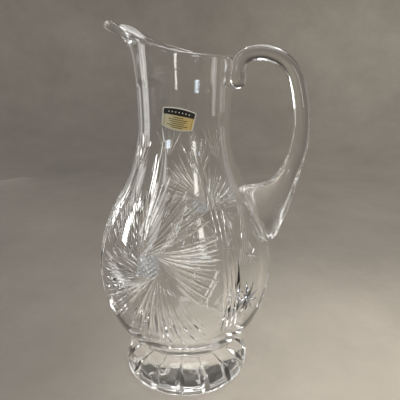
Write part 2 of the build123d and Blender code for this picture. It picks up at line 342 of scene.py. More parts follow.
def vesselGrid():
    # outside, rounded rim and inside joined into one profile for each column
    v = vessel
    turn = np.linspace(0, 2 * math.pi, v["columns"], endpoint=False)
    outR, outZ, outEdge = wallSide(turn, v["bowlRadius"], v["neckRadius"], v["seatRadius"], v["footHeight"],
                                   v["seatRounding"], 0.0, 0.0, v["rimRounding"])
    inR, inZ, inEdge = wallSide(turn, v["bowlRadius"] - v["bowlWall"], v["neckRadius"] - v["neckWall"],
                                v["wellRadius"], v["footHeight"] + v["baseWall"], v["wellRounding"],
                                v["lipThickness"], v["lipThickness"] / 4, v["rimRounding"])
    # rim: a curve that leaves the outside along it, bends over near both edges and joins the inside along it
    share = np.linspace(0, 1, v["rimRows"] + 2)[1:-1, None, None]
    a, b = np.stack([outR[-1], outZ[-1]], axis=-1), np.stack([inR[-1], inZ[-1]], axis=-1)
    rim = (a * (1 - share) ** 3 + outEdge * 3 * share * (1 - share) ** 2
           + inEdge * 3 * share ** 2 * (1 - share) + b * share ** 3)
    radii = np.concatenate([outR, rim[..., 0], inR[::-1]])
    heights = np.concatenate([outZ, rim[..., 1], inZ[::-1]])
    return np.stack([radii * np.cos(turn), radii * np.sin(turn), heights], axis=-1)


# turns and angles are in degrees; reaches and levels run along the unrolled side from the pinwheel's middle
cuts = {
    "sideTurn": 95.0, "level": 117.0, "angle": 105.0, "buttonRadius": 8.2,
    "vanes": 5, "vaneCuts": 8, "vaneTurn": 27.0, "vaneSpread": 8.1,
    "rootTurn": 90.0, "rootSpread": 5.5, "lead": 4.0,
    "reachSideways": 56.0, "reachDown": 72.0, "reachUp": 62.0, "shortest": 0.85,
    "depth": 1.1, "edgeDepth": 1.5, "fineDepth": 0.45, "fineShare": 0.9, "fineDeepest": 0.6,
    "borderTurn": 50.0, "borderCuts": 4, "borderSpacing": 3.7, "borderDepth": 1.5,
    "borderLow": -56.0, "borderHigh": 54.0, "borderStep": 4.0,
    "neckFanTurn": 38.0, "neckFanLevel": 57.0, "neckFanCuts": 5, "neckFanSpread": 15.0,
    "neckFanRoot": 3.0, "neckFanReach": 27.0, "neckFanDepth": 0.9,
    "leafAcross": (-12.0, -4.0, 3.0), "leafLean": (7.0, 3.0, -2.0), "leafLow": (27.0, 38.0, 45.0),
    "leafHigh": (73.0, 80.0, 76.0), "leafDepth": 1.6,
    "starTurn": 62.0, "starUp": -31.0, "starAngles": (15.0, 60.0, 92.0, 125.0, 160.0),
    "starReach": 14.5, "starDepth": 1.3,
    "hatchSlants": (40.0, -50.0), "hatchCuts": 7, "hatchSpacing": 2.7, "hatchDepth": 1.05, "hatchRadius": 9.4,
    # the cutters: places along each, how far they stand out of the glass over a cut and at its two ends
    "stations": 17, "cover": 0.7, "endLift": 0.15, "mostLift": 0.4,
}


def chartPoint(side, across, up):
    # a point of the unrolled side: across runs to the right as seen from outside, up runs along the axis
    z = cuts["level"] + up
    radius = radiusAt(z)
    turn = side + across / radius
    return np.stack([radius * np.cos(turn), radius * np.sin(turn), z], axis=-1)


def chartNormal(side, across, up, step=0.02):
    # outward normal from two short steps on the wall
    right = chartPoint(side, across + step, up) - chartPoint(side, across - step, up)
    above = chartPoint(side, across, up + step) - chartPoint(side, across, up - step)
    return unit(np.cross(right, above))


def cutterMesh(name, rows, slot):
    # wheel cuts as V prisms along straight chart lines; a row holds side, start, end, depth and deepest place
    side, start, end = rows[:, 0:1], rows[:, None, 1:3], rows[:, None, 3:5]
    depth, deepest = rows[:, 5:6], rows[:, 6:7]
    count, stations = len(rows), cuts["stations"]
    share = np.linspace(0, 1, stations)[None, :]
    line = start + (end - start) * share[..., None]
    base = chartPoint(side, line[..., 0], line[..., 1])
    normal = chartNormal(side, line[..., 0], line[..., 1])
    # the wheel goes in and out along an arc, deepest where the row's last number says
    before = np.clip((deepest - share) / deepest, 0, 1)
    after = np.clip((share - deepest) / (1 - deepest), 0, 1)
    sink = depth * (1 - before ** 2 - after ** 2)
    sink[:, [0, -1]] = -cuts["endLift"]
    along = unit(slopeAlong(base, 1))
    sideways = np.cross(normal, along)
    slant = math.tan(math.radians(cuts["angle"] / 2))
    half = (cuts["cover"] + np.maximum(sink, -cuts["mostLift"]))[..., None] * slant
    bottom = base - normal * sink[..., None]
    left = base + normal * cuts["cover"] + sideways * half
    right = base + normal * cuts["cover"] - sideways * half
    points = np.stack([bottom, left, right], axis=2)
    # ring of three points at each station: bottom, left, right
    ring = ((np.arange(count)[:, None] * stations + np.arange(stations - 1)[None, :]) * 3).ravel()
    quads = np.concatenate([np.stack([ring + a, ring + b, ring + 3 + b, ring + 3 + a], axis=-1)
                            for a, b in ((0, 1), (1, 2), (2, 0))])
    head = np.arange(count) * stations * 3
    tail = head + (stations - 1) * 3
    caps = np.concatenate([np.stack([head + 2, head + 1, head], axis=-1),
                           np.stack([tail, tail + 1, tail + 2], axis=-1)])
    piece = makePiece(name, points.reshape(-1, 3), [quads, caps], crystals)
    # the normals that the glass has once the cut is made point away from the cutter's own sides
    tangent = slopeAlong(bottom, 1)
    flanks = [unit(np.cross(tangent, edge - bottom)) for edge in (left, right)]
    leftNormal, rightNormal = (f * np.sign((f * normal).sum(-1, keepdims=True)) for f in flanks)
    station = (quads // 3).reshape(3, -1, 4)
    corner = [n.reshape(-1, 3)[s].reshape(-1, 3) for n, s in zip((leftNormal, -normal, rightNormal), station)]
    capNormals = np.repeat(along.reshape(-1, 3)[caps[:, 0] // 3], 3, axis=0)
    keepNormals(piece.data, np.concatenate(corner + [capNormals]))
    piece.data.polygons.foreach_set("material_index", np.full(len(piece.data.polygons), slot, np.int32))
    return piece


def cutRows(side, startX, startY, endX, endY, depth, deepest=0.5):
    # one row of numbers for each cut, from whole arrays or single values
    fields = np.broadcast_arrays(float(side), startX, startY, endX, endY, depth, deepest)
    return np.stack(fields, axis=-1).astype(float)


def oneEach(rows):
    # a group of its own for each cut, because they meet
    return [rows[n:n + 1] for n in range(len(rows))]


def pinwheelRows(side):
    # fans of straight cuts whose roots lie on the button's edge, so that the whole turns like a pinwheel
    number = np.arange(cuts["vanes"] * cuts["vaneCuts"])
    vane, place = number // cuts["vaneCuts"], number % cuts["vaneCuts"]
    first = 360.0 * vane / cuts["vanes"] + cuts["vaneTurn"]
    turn = np.radians(first + cuts["vaneSpread"] * place)
    root = np.radians(first + cuts["rootTurn"] + cuts["rootSpread"] * place)
    upright = np.where(np.sin(turn) > 0, cuts["reachUp"], cuts["reachDown"])
    reach = 1 / np.hypot(np.cos(turn) / cuts["reachSideways"], np.sin(turn) / upright)
    reach = reach * (cuts["shortest"] + (1 - cuts["shortest"]) * place / (cuts["vaneCuts"] - 1))
    startX = cuts["buttonRadius"] * np.cos(root) - cuts["lead"] * np.cos(turn)
    startY = cuts["buttonRadius"] * np.sin(root) - cuts["lead"] * np.sin(turn)
    length = reach + cuts["lead"]
    depth = np.where(place == 0, cuts["edgeDepth"], cuts["depth"])
    rows = cutRows(side, startX, startY, startX + length * np.cos(turn), startY + length * np.sin(turn), depth)
    # a fine cut lies half way between each ray and the next
    turn = turn + np.radians(cuts["vaneSpread"] / 2)
    root = root + np.radians(cuts["rootSpread"] / 2)
    startX, startY = cuts["buttonRadius"] * np.cos(root), cuts["buttonRadius"] * np.sin(root)
    length = reach * cuts["fineShare"]
    fine = cutRows(side, startX, startY, startX + length * np.cos(turn), startY + length * np.sin(turn),
                   cuts["fineDepth"], cuts["fineDeepest"])
    return [kind[place == p] for kind in (rows, fine) for p in range(cuts["vaneCuts"])]


def borderRows(side):
    # long upright cuts side by side
    number = np.arange(cuts["borderCuts"])
    across = cuts["borderSpacing"] * (number - (len(number) - 1) / 2)
    high = cuts["borderHigh"] - cuts["borderStep"] * number
    return oneEach(cutRows(side, across, cuts["borderLow"], across, high, cuts["borderDepth"]))


def neckFanRows(side):
    # short cuts that spread upwards where the shoulder meets the neck
    number = np.arange(cuts["neckFanCuts"])
    turn = np.radians(cuts["neckFanSpread"] * (number - (len(number) - 1) / 2))
    low, reach = cuts["neckFanLevel"], cuts["neckFanReach"]
    return oneEach(cutRows(side, cuts["neckFanRoot"] * np.sin(turn), low, reach * np.sin(turn),
                           low + reach * np.cos(turn), cuts["neckFanDepth"]))


def leafRows(side):
    # tall leaves above the pinwheel that end on the neck
    across, lean = np.array(cuts["leafAcross"]), np.array(cuts["leafLean"])
    return oneEach(cutRows(side, across, cuts["leafLow"], across + lean, cuts["leafHigh"], cuts["leafDepth"]))


def starRows(side):
    # short cuts that cross in one point
    turn = np.radians(cuts["starAngles"])
    c, s = cuts["starReach"] * np.cos(turn), cuts["starReach"] * np.sin(turn)
    return oneEach(cutRows(side, -c, cuts["starUp"] - s, c, cuts["starUp"] + s, cuts["starDepth"]))


def hatchRows(side, slant):
    # fine parallel cuts across the button, each as long as the circle is wide there
    offset = (np.arange(cuts["hatchCuts"]) - (cuts["hatchCuts"] - 1) / 2) * cuts["hatchSpacing"]
    half = np.sqrt(cuts["hatchRadius"] ** 2 - offset ** 2)
    c, s = math.cos(math.radians(slant)), math.sin(math.radians(slant))
    return cutRows(side, -half * c - offset * s, -half * s + offset * c,
                   half * c - offset * s, half * s + offset * c, cuts["hatchDepth"])


def twice(rows, side, turn):
    # the same cuts to the left and to the right of the pinwheel
    turn = math.radians(turn)
    return [np.concatenate(pair) for pair in zip(rows(side - turn), rows(side + turn))]


def ornamentGroups():
    # the same ornament on both sides, in groups whose cuts stay clear of each other; the hatching comes last
    groups = []
    for sign in (-1, 1):
        side = math.radians(sign * cuts["sideTurn"])
        groups.append(pinwheelRows(side) + twice(borderRows, side, cuts["borderTurn"])
                      + twice(neckFanRows, side, cuts["neckFanTurn"]) + leafRows(side)
                      + twice(starRows, side, cuts["starTurn"])
                      + [hatchRows(side, slant) for slant in cuts["hatchSlants"]])
    return [np.concatenate(pair) for pair in zip(*groups)]


def cutOrnament(blank):
    # takes each group of cuts out of the blank in turn
    groups = ornamentGroups()
    firstHatch = len(groups) - len(cuts["hatchSlants"])
    for number, rows in enumerate(groups):
        cutter = cutterMesh(f"cutter{number}", rows, hatchSlot if number >= firstHatch else cutSlot)
        modifier = blank.modifiers.new(f"cut{number}", "BOOLEAN")
        modifier.operation = "DIFFERENCE"
        modifier.solver = "MANIFOLD"
        modifier.object = cutter
        cutter.hide_render = True
    view = bpy.context.evaluated_depsgraph_get()
    result = blank.evaluated_get(view)
    mesh = bpy.data.meshes.new_from_object(result, preserve_all_data_layers=True, depsgraph=view)
    uncut = blank.data
    blank.modifiers.clear()
    blank.data = mesh
    bpy.data.meshes.remove(uncut)
    for thing in [o for o in bpy.data.objects if o.name.startswith("cutter")]:
        bpy.data.meshes.remove(thing.data)


points, faces, normals = turnedShell(vesselGrid())
vesselPiece = makePiece("vessel_glass", points, faces, crystals, normals)
cutOrnament(vesselPiece)
useShapeNormals(vesselPiece)
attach(vesselPiece, "root")
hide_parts("vessel")
print("vessel:", len(vesselPiece.data.polygons), "faces")


foot = {
    "height": 20.0, "waist": 33.0, "slopeMiddle": (40.0, 18.3), "brow": (46.7, 15.0), "standingRadius": 52.2,
    "grooves": 16, "grooveAngle": 110.0, "grooveLine": ((33.8, 19.1), (45.9, 13.3), (51.0, -1.0)),
    "leastHalf": 0.035, "leastRadius": 5.0, "padCrown": 0.15, "sink": 0.25,
    # bevel at the standing edge: its height, how far it goes in, and the corner that its curve bends towards
    "bevel": 0.8, "bevelIn": 1.1, "bevelCorner": 0.25,
    "floorRadii": (0, 12, 24, 36, 44, 48), "seatRadii": (32.6, 20, 9, 0),
    "perPad": 11, "bevelRows": 4, "sideRows": 18, "slopeRows": 15,
}


def circleThrough(a, b, c):
    # centre and radius of the circle through three points of a plane
    a, b, c = (np.asarray(p, float) for p in (a, b, c))
    centre = np.linalg.solve(2 * np.array([b - a, c - a]), np.array([b @ b - a @ a, c @ c - a @ a]))
    return centre, float(np.linalg.norm(a - centre))


def arcRun(centre, radius, start, end, count):
    # points of a circle from one angle to another, in degrees
    turn = np.radians(np.linspace(start, end, count))
    return np.stack([centre[0] + radius * np.cos(turn), centre[1] + radius * np.sin(turn)], axis=-1)


def angleOf(vector):
    return math.degrees(math.atan2(vector[1], vector[0]))


def flatRings(radii, level):
    return np.stack([np.array(radii, float), np.full(len(radii), level)], axis=-1)


def footProfile():
    # from the middle of the standing face outwards: bevel, round side, slope up to the waist, flat seat
    waist, brow = np.array([foot["waist"], foot["height"]]), np.array(foot["brow"])
    slopeHub, slopeRadius = circleThrough(waist, foot["slopeMiddle"], brow)
    outward = (brow - slopeHub) / slopeRadius
    chord = np.array([foot["standingRadius"], 0.0]) - brow
    # the side is the arc that carries on from the slope without a kink and ends at the standing edge
    sideRadius = -float(chord @ chord) / (2 * float(chord @ outward))
    sideHub = brow - sideRadius * outward
    low = math.degrees(math.asin((foot["bevel"] - sideHub[1]) / sideRadius))
    side = arcRun(sideHub, sideRadius, low, angleOf(outward), foot["sideRows"])
    first, last = angleOf(brow - slopeHub), angleOf(waist - slopeHub)
    slope = arcRun(slopeHub, slopeRadius, first, last, foot["slopeRows"] + 1)[1:]
    share = np.linspace(0, 1, foot["bevelRows"] + 1)[:-1, None]
    inner, corner = side[0] - [foot["bevelIn"], foot["bevel"]], side[0] - [foot["bevelCorner"], foot["bevel"]]
    bevel = inner * (1 - share) ** 2 + 2 * corner * share * (1 - share) + side[0] * share ** 2
    return np.concatenate([flatRings(foot["floorRadii"], 0.0), bevel, side, slope,
                           flatRings(foot["seatRadii"], foot["height"] + foot["sink"])])


def footGrid():
    # the profile turned round, taken in by V grooves whose bottoms follow one arc, as a grinding wheel cuts them
    profile = footProfile()
    radii, heights = profile[:, 0], profile[:, 1]
    hub, reach = circleThrough(*foot["grooveLine"])
    depth = np.maximum(np.linalg.norm(profile - hub, axis=1) - reach, 0)
    depth[:len(foot["floorRadii"])] = 0
    depth[-len(foot["seatRadii"]):] = 0
    pitch = 2 * math.pi * np.maximum(radii, foot["leastRadius"]) / foot["grooves"]
    slant = math.tan(math.radians(foot["grooveAngle"] / 2))
    half = np.maximum(depth * slant / pitch, foot["leastHalf"])[:, None]
    # columns of one groove and the pad after it, as shares of the pitch; 1 in valley is the groove's bottom
    inside = np.linspace(0, 1, foot["perPad"])[None, :]
    inPad = np.concatenate([0 * half, half / 2, half + (1 - 2 * half) * inside, 1 - half / 2], axis=1)
    valley = np.concatenate([[1.0, 0.5], np.zeros(foot["perPad"]), [0.5]])
    crown = np.concatenate([[0.0, 0.0], np.abs(2 * inside[0] - 1) ** 2, [0.0]])
    number = np.arange(foot["grooves"])
    turn = (number[None, :, None] + inPad[:, None, :]).reshape(len(radii), -1)
    turn = (turn + 0.5) * 2 * math.pi / foot["grooves"]
    move = -depth[:, None] * valley - foot["padCrown"] * crown * (depth > 0)[:, None]
    move = np.tile(move, (1, foot["grooves"]))
    along = unit(slopeAlong(profile, 0))
    r = radii[:, None] + along[:, 1:2] * move
    z = np.maximum(heights[:, None] - along[:, 0:1] * move, 0.0)
    r[0] = r[-1] = 0
    return np.stack([r * np.cos(turn), r * np.sin(turn), z], axis=-1)


def creaseGrooves(piece, rows, columns):
    # marks the edges along each groove's bottom and two brows as sharp, between the flat rings below and above
    mesh = piece.data
    inGroove = np.array([0, 2, foot["perPad"] + 1])
    creases = (np.arange(foot["grooves"])[:, None] * (foot["perPad"] + 3) + inGroove).ravel()
    ends = np.zeros(len(mesh.edges) * 2, np.int32)
    mesh.edges.foreach_get("vertices", ends)
    ends = ends.reshape(-1, 2)
    row, column = ends // columns, ends % columns
    sharp = (column[:, 0] == column[:, 1]) & np.isin(column[:, 0], creases)
    sharp &= (row.min(axis=1) >= len(foot["floorRadii"]) - 1)
    sharp &= (row.max(axis=1) <= rows - len(foot["seatRadii"]) - 2)
    layer = mesh.attributes.new("sharp_edge", "BOOLEAN", "EDGE")
    layer.data.foreach_set("value", sharp)


grid = footGrid()
points, faces, normals = turnedShell(grid)
footPiece = makePiece("foot_glass", points, faces, [pressedGlass])
creaseGrooves(footPiece, *grid.shape[:2])
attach(footPiece, "root")
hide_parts("foot")
print("foot:", len(footPiece.data.polygons), "faces")


handle = {
    # knobLength is counted in rod radii
    "rodRadius": 5.3, "knobRadius": 5.9, "knobLength": 1.2, "tailStand": 0.3, "tailEnd": 236.0,
    "rimLevel": 252.4, "bendWidth": 6.2, "bendRise": 0.4,
    "crestRadius": 27.7, "crestSlope": 18.0, "sideSlope": 18.0, "sideRadius": 107.0,
    "drawLines": 6, "drawDepth": 0.22, "sink": 0.25,
    # the flank is thicker than the crest, mostly towards the inside: more half height, more half width, shift
    "swell": (0.75, 0.4, 0.55), "swellRows": (32, 48),
    # flat places pressed on the gather's outside: degrees below +X, degrees to each side, the plane's distance
    "presses": ((14.0, 45.0, 31.5), (28.0, 40.0, 6.1)),
    # rings of the gather: x, z, how far the ring's axis points below the level, half height, half width
    "gather": ((85.1, 193.0, 83.1, 6.4, 5.8), (83.2, 183.0, 73.7, 6.8, 6.1), (80.7, 174.9, 63.2, 7.4, 6.4),
               (78.1, 167.7, 53.1, 8.9, 7.2), (74.8, 159.1, 41.3, 11.6, 8.4), (69.3, 148.6, 25.5, 17.4, 9.8),
               (65.4, 142.3, 19.7, 22.2, 10.6), (60.5, 139.2, 12.8, 23.8, 10.9),
               (52.0, 138.9, 12.8, 22.5, 10.5), (44.0, 139.0, 12.8, 21.0, 10.0)),
    # rings of each stretch; the knob tapers within the first knobRows rings of the middle line
    "around": 84, "tipRows": 11, "tailRows": 8, "bendRows": 9, "crestRows": 25, "flankRows": 14,
    "gatherRows": 59, "closingRows": 11, "knobRows": 12,
}


def rodLine():
    # middle line of the rod in the XZ plane: straight tail, tight bend, crest and flank
    h = handle
    tailX = vessel["neckRadius"] + h["rodRadius"] + h["tailStand"]
    crestStart = np.array([tailX + h["bendWidth"], h["rimLevel"] + h["bendRise"]])
    bendTurn = 90 - h["crestSlope"]
    bendRadius = h["bendWidth"] / (1 - math.cos(math.radians(bendTurn)))
    bendStart = np.array([tailX, crestStart[1] - bendRadius * math.sin(math.radians(bendTurn))])
    tailLevels = np.linspace(h["tailEnd"], bendStart[1], h["tailRows"] + 1)[:-1]
    tail = np.stack([np.full_like(tailLevels, tailX), tailLevels], axis=-1)
    bend = arcRun(bendStart + [bendRadius, 0], bendRadius, 180, 180 - bendTurn, h["bendRows"] + 1)[:-1]
    slope, side = math.radians(h["crestSlope"]), math.radians(h["sideSlope"])
    hub = crestStart + [h["crestRadius"] * math.sin(slope), -h["crestRadius"] * math.cos(slope)]
    crest = arcRun(hub, h["crestRadius"], 90 + h["crestSlope"], h["sideSlope"], h["crestRows"] + 1)[:-1]
    flankHub = hub + (h["crestRadius"] - h["sideRadius"]) * np.array([math.cos(side), math.sin(side)])
    flank = arcRun(flankHub, h["sideRadius"], h["sideSlope"], 0, h["flankRows"])
    return np.concatenate([tail, bend, crest, flank])


def handleGrid():
    # round rings along the rod, then wider and taller oval rings that turn into the shoulder
    h = handle
    rod, knob = h["rodRadius"], h["knobRadius"]
    moreTall, moreWide, shift = h["swell"]
    line = rodLine()
    number = np.arange(len(line))
    firstRow, lastRow = h["swellRows"]
    swell = easeIn((number - firstRow) / (lastRow - firstRow))
    line[:, 0] -= shift * swell
    rodHead = slopeAlong(line, 0)
    # the gather's rings, smoothed over the distance along their middle line
    gather = np.array(h["gather"])
    dip = np.radians(gather[:, 2])
    centre = np.concatenate([line[-1:], gather[:, :2]])
    head = np.concatenate([[[0.0, -1.0]], np.stack([-np.cos(dip), -np.sin(dip)], axis=-1)])
    size = np.concatenate([[[rod + moreTall, rod + moreWide]], gather[:, 3:]])
    knots = np.concatenate([[0], np.cumsum(np.linalg.norm(np.diff(centre, axis=0), axis=1))])
    s = np.linspace(0, knots[-1], h["gatherRows"] + 1)[1:]
    moreCentre, moreHead, moreSize = (np.stack([smoothLine(s, knots, values[:, i]) for i in (0, 1)], axis=-1)
                                      for values in (centre, head, size))
    # the tail ends in a knob: half a ball, then a slow taper back to the rod's thickness
    tip = np.linspace(0, math.pi / 2, h["tipRows"] + 1)[:-1]
    tipCentre = line[0] + np.stack([0 * tip, -knob * np.cos(tip)], axis=-1)
    tipSize = knob * np.sin(tip)
    above = (line[:, 1] - line[0, 1]) / (h["knobLength"] * rod)
    above[number > h["knobRows"]] = 1
    rodSize = knob + (rod - knob) * easeIn(above)
    # inside the body the last ring closes to a point
    closing = np.linspace(1, 0, h["closingRows"] + 1)[1:]
    centres = np.concatenate([tipCentre, line, moreCentre, np.repeat(moreCentre[-1:], len(closing), axis=0)])
    heads = unit(np.concatenate([np.repeat(rodHead[:1], len(tip), axis=0), rodHead, moreHead,
                                 np.repeat(moreHead[-1:], len(closing), axis=0)]))
    tall, wide = (np.concatenate([tipSize, rodSize + more * swell, moreSize[:, i], moreSize[-1, i] * closing])
                  for i, more in enumerate((moreTall, moreWide)))
    turn = np.linspace(0, 2 * math.pi, h["around"], endpoint=False)
    # faint lines along the rod, left where it was drawn
    ripple = 1 - h["drawDepth"] / rod * (0.5 + 0.5 * np.cos(h["drawLines"] * turn))
    out = tall[:, None] * ripple * np.cos(turn)
    x = centres[:, 0:1] + out * heads[:, 1:2]
    z = centres[:, 1:2] - out * heads[:, 0:1]
    y = wide[:, None] * ripple * np.sin(turn)
    # what would lie inside the body is laid against its outside instead
    radius = np.hypot(x, y)
    least = radiusAt(z) - h["sink"]
    grow = np.where(radius < least, least / np.maximum(radius, tiny), 1.0)
    points = np.stack([x * grow, y * grow, z], axis=-1)
    # what stands out past a pressed plane is moved back to it
    for down, aside, distance in h["presses"]:
        down, aside = math.radians(down), math.radians(aside)
        for sign in (-1, 1):
            flat = np.array([math.cos(down) * math.cos(aside), sign * math.sin(aside),
                             -math.sin(down) * math.cos(aside)])
            points = points - flat * np.maximum(points @ flat - distance, 0)[..., None]
    return points


points, faces, normals = turnedShell(handleGrid())
handlePiece = makePiece("handle_glass", points, faces, [drawnGlass])
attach(handlePiece, "root")
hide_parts("handle")
print("handle:", len(handlePiece.data.polygons), "faces")


label = {
    "turn": -78.8, "level": 211.2, "tilt": 10.5,
    "topWidth": 23.2, "bottomWidth": 21.7, "height": 11.8, "arch": 1.6, "gap": 0.02, "thickness": 0.15, "columns": 60, "rows": 32,
    # the print, in shares of the label's width and height; a rule is its level and half its length
    "borderAcross": 0.463, "borderLow": 0.055, "borderHigh": 0.95, "bandFrom": 0.66,
    "frameAt": 0.425, "frameHalf": 0.006,
    "rules": ((0.565, 0.15), (0.475, 0.29), (0.385, 0.25), (0.295, 0.20), (0.205, 0.32), (0.125, 0.17)),
    "ruleHalf": 0.017, "marks": 7, "markPitch": 0.1, "markSize": 0.022, "markSlant": 0.5, "markLevel": 0.80,
    "borderColor": (0.80, 0.78, 0.70, 1), "bandColor": (0.012, 0.012, 0.010, 1),
    "inkColor": (0.13, 0.10, 0.035, 1), "creamColor": (0.74, 0.71, 0.50, 1), "goldColor": (0.80, 0.58, 0.19, 1),
    "grainScale": 9.0, "grainDetail": 6.0, "grainInColor": 0.5, "grainHeight": 0.00004,
    "metal": 0.3, "leastRoughness": 0.22, "moreRoughness": 0.25,
}


def calculator(nodes, link):
    # gives a function that adds a Math node, and one that blends two colours by a mask
    def feed(socket, value):
        if isinstance(value, (int, float, tuple)):
            socket.default_value = value
        else:
            link(value, socket)

    def calculate(operation, *values):
        node = nodes.new("ShaderNodeMath")
        node.operation = operation
        for socket, value in zip(node.inputs, values):
            feed(socket, value)
        return node.outputs[0]

    def blend(mask, a, b, kind="MIX"):
        node = nodes.new("ShaderNodeMix")
        node.data_type = "RGBA"
        node.blend_type = kind
        feed(node.inputs["Factor"], mask)
        feed(node.inputs["A"], a)
        feed(node.inputs["B"], b)
        return node.outputs["Result"]

    return calculate, blend


def foilMaterial():
    # printed foil: pale border, dark band with a row of pale lozenges, cream to gold field with dark rules
    material = bpy.data.materials.new("labelFoil")
    material.use_nodes = True
    nodes, link = material.node_tree.nodes, material.node_tree.links.new
    shader = nodes["Principled BSDF"]
    calculate, blend = calculator(nodes, link)
    place = nodes.new("ShaderNodeUVMap")
    place.uv_map = "print"
    split = nodes.new("ShaderNodeSeparateXYZ")
    link(place.outputs["UV"], split.inputs["Vector"])
    u, v = split.outputs["X"], split.outputs["Y"]

    def distance(value, middle):
        return calculate("ABSOLUTE", calculate("SUBTRACT", value, middle))

    fromMiddle = distance(u, 0.5)
    upright = calculate("MULTIPLY", calculate("GREATER_THAN", v, label["borderLow"]),
                        calculate("LESS_THAN", v, label["borderHigh"]))
    inside = calculate("MULTIPLY", upright, calculate("LESS_THAN", fromMiddle, label["borderAcross"]))
    band = calculate("MULTIPLY", inside, calculate("GREATER_THAN", v, label["bandFrom"]))
    # thin upright lines near both ends, then the rules between them
    ink = calculate("LESS_THAN", distance(fromMiddle, label["frameAt"]), label["frameHalf"])
    for level, half in label["rules"]:
        near = calculate("LESS_THAN", distance(v, level), label["ruleHalf"])
        ink = calculate("MAXIMUM", ink, calculate("MULTIPLY", near, calculate("LESS_THAN", fromMiddle, half)))
    # lozenges: the distance across and up from the nearest place of the row adds up to less than their size
    sideways = calculate("SUBTRACT", u, 0.5)
    step = calculate("ROUND", calculate("DIVIDE", sideways, label["markPitch"]))
    across = distance(sideways, calculate("MULTIPLY", step, label["markPitch"]))
    above = calculate("MULTIPLY", distance(v, label["markLevel"]), label["markSlant"])
    mark = calculate("LESS_THAN", calculate("ADD", across, above), label["markSize"])
    inRow = calculate("LESS_THAN", calculate("ABSOLUTE", step), label["marks"] / 2)
    mark = calculate("MULTIPLY", mark, inRow)
    grain = nodes.new("ShaderNodeTexNoise")
    grain.inputs["Scale"].default_value = label["grainScale"]
    grain.inputs["Detail"].default_value = label["grainDetail"]
    link(place.outputs["UV"], grain.inputs["Vector"])
    grainShift = calculate("MULTIPLY", calculate("SUBTRACT", grain.outputs["Fac"], 0.5), label["grainInColor"])
    toGold = calculate("ADD", u, grainShift)
    field = blend(ink, blend(toGold, label["creamColor"], label["goldColor"]), label["inkColor"])
    paint = blend(band, field, blend(mark, label["bandColor"], label["borderColor"]))
    link(blend(inside, label["borderColor"], paint), shader.inputs["Base Color"])
    bare = calculate("MULTIPLY", inside, calculate("SUBTRACT", 1.0, calculate("MAXIMUM", band, ink)))
    link(calculate("MULTIPLY", bare, label["metal"]), shader.inputs["Metallic"])
    rough = calculate("MULTIPLY", grain.outputs["Fac"], label["moreRoughness"])
    link(calculate("ADD", rough, label["leastRoughness"]), shader.inputs["Roughness"])
    bump = nodes.new("ShaderNodeBump")
    bump.inputs["Distance"].default_value = label["grainHeight"]
    link(grain.outputs["Fac"], bump.inputs["Height"])
    link(bump.outputs["Normal"], shader.inputs["Normal"])
    return material


def labelPatch():
    # patch with arched long edges, bent round the neck, as a front and a back skin joined at the edge
    u, v = np.meshgrid(np.linspace(-1, 1, label["columns"]), np.linspace(-1, 1, label["rows"]))
    half = (label["bottomWidth"] + (label["topWidth"] - label["bottomWidth"]) * (v + 1) / 2) / 2
    across, up = u * half, v * (label["height"] / 2 + label["arch"] * (1 - u ** 2))
    tilt = math.radians(-label["tilt"])
    z = label["level"] + across * math.sin(tilt) + up * math.cos(tilt)
    around = across * math.cos(tilt) - up * math.sin(tilt)
    turn = math.radians(label["turn"]) + around / float(radiusAt(label["level"]))
    skins = []
    for offset in (label["gap"] + label["thickness"], label["gap"]):
        r = radiusAt(z) + offset
        skins.append(np.stack([r * np.cos(turn), r * np.sin(turn), z], axis=-1).reshape(-1, 3))
    index = np.arange(u.size).reshape(u.shape)
    cell = np.stack([index[:-1, :-1], index[:-1, 1:], index[1:, 1:], index[1:, :-1]], axis=-1).reshape(-1, 4)
    rim = np.concatenate([index[0, :], index[1:, -1], index[-1, -2::-1], index[-2:0:-1, 0]])
    after = np.roll(rim, -1)
    edge = np.stack([rim, rim + u.size, after + u.size, after], axis=-1)
    uv = np.stack([(u.ravel() + 1) / 2, (v.ravel() + 1) / 2], axis=-1)
    faces = [np.concatenate([cell, cell[:, ::-1] + u.size, edge])]
    return np.concatenate(skins), faces, np.concatenate([uv, uv])


points, faces, uv = labelPatch()
labelPiece = makePiece("foil_label_print", points, faces, [foilMaterial()])
layer = labelPiece.data.uv_layers.new(name="print")
corners = np.zeros(len(labelPiece.data.loops), np.int32)
labelPiece.data.loops.foreach_get("vertex_index", corners)
layer.data.foreach_set("uv", uv[corners].ravel())
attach(labelPiece, "root")
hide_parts("foil_label")
print("label:", len(labelPiece.data.polygons), "faces")


